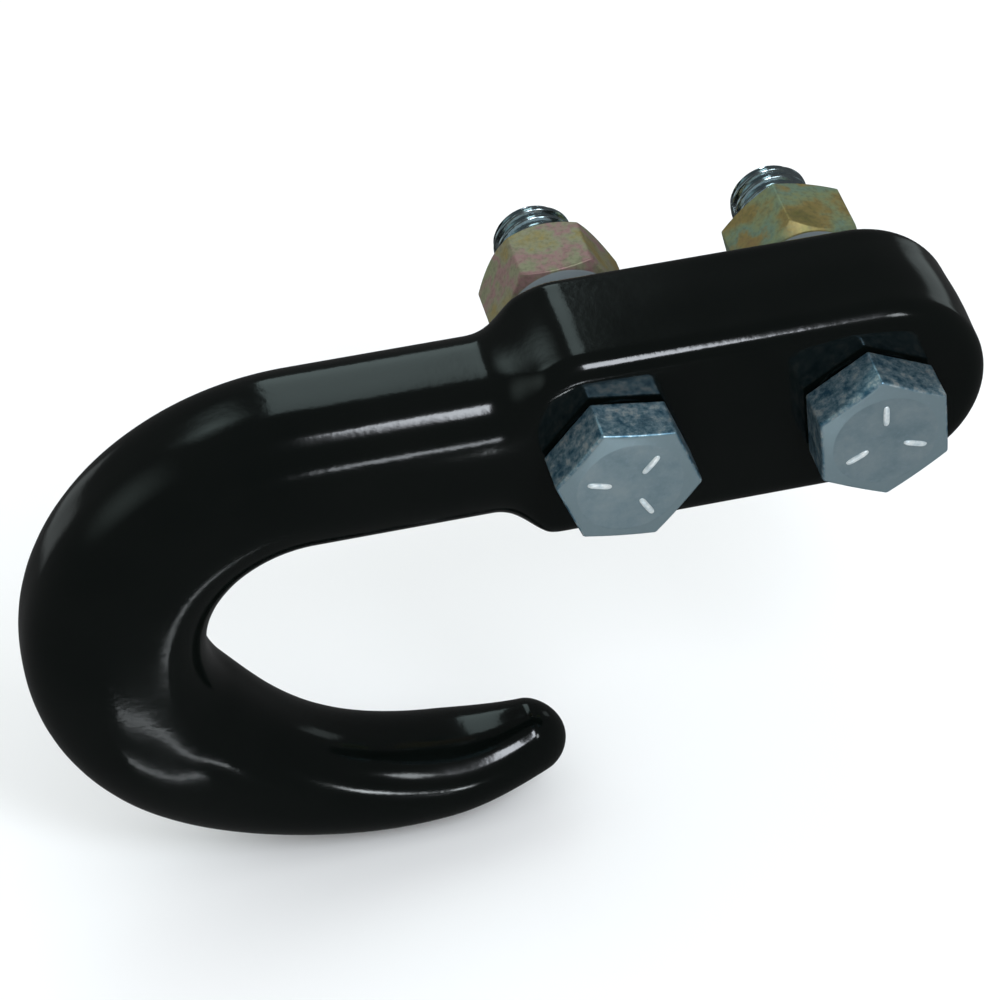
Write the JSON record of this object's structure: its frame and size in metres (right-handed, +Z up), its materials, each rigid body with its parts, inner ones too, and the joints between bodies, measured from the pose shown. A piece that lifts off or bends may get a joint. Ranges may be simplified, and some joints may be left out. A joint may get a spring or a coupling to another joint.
{
  "type": "bolt-on tow hook",
  "caption": "Forged open hook on a flat bolt-on pad, with hex bolts through the pad and lock nuts on their threads, for a chain or strap.",
  "frame": {"origin": "middle of the pad's back face, halfway between the two bolt axes", "axes": "+X along the pad to its free end, with the bow at -X; +Y along the bolts from head to nut, out of the pad's back face; +Z up in the hook's plane, with the jaw below the shank"},
  "size_m": [0.1452, 0.0587, 0.0933],
  "materials": {
    "black_coat": "glossy black coat on forged steel",
    "clear_zinc": "blue-grey clear zinc plating, satin",
    "yellow_zinc": "iridescent yellow zinc plating, satin"
  },
  "bodies": {
    "hook": {"hook_forging": "black_coat"},
    "inner_bolt": {"inner_bolt": "clear_zinc"},
    "inner_nut": {"inner_lock_nut": "yellow_zinc"},
    "outer_bolt": {"outer_bolt": "clear_zinc"},
    "outer_nut": {"outer_lock_nut": "yellow_zinc"}
  },
  "joints": [
    {"name": "inner_bolt_turn", "type": "hinge", "parent": "hook", "child": "inner_bolt", "pos_m": [-0.01905, 0, 0], "axis": [0, 1, 0], "range_deg": [-3648, 1566]},
    {"name": "inner_nut_travel", "type": "slide", "parent": "hook", "child": "inner_nut", "axis": [0, 1, 0], "range_m": [-0.0085, 0.0198]},
    {"name": "outer_bolt_turn", "type": "hinge", "parent": "hook", "child": "outer_bolt", "pos_m": [0.01905, 0, 0], "axis": [0, 1, 0], "range_deg": [-3795, 1418]},
    {"name": "outer_nut_travel", "type": "slide", "parent": "hook", "child": "outer_nut", "axis": [0, 1, 0], "range_m": [-0.0077, 0.0206]}
  ],
  "couplings": [
    {"joint": "inner_nut_travel", "follows": "inner_bolt_turn", "m_per_rad": -0.00031096},
    {"joint": "outer_nut_travel", "follows": "outer_bolt_turn", "m_per_rad": -0.00031096}
  ]
}
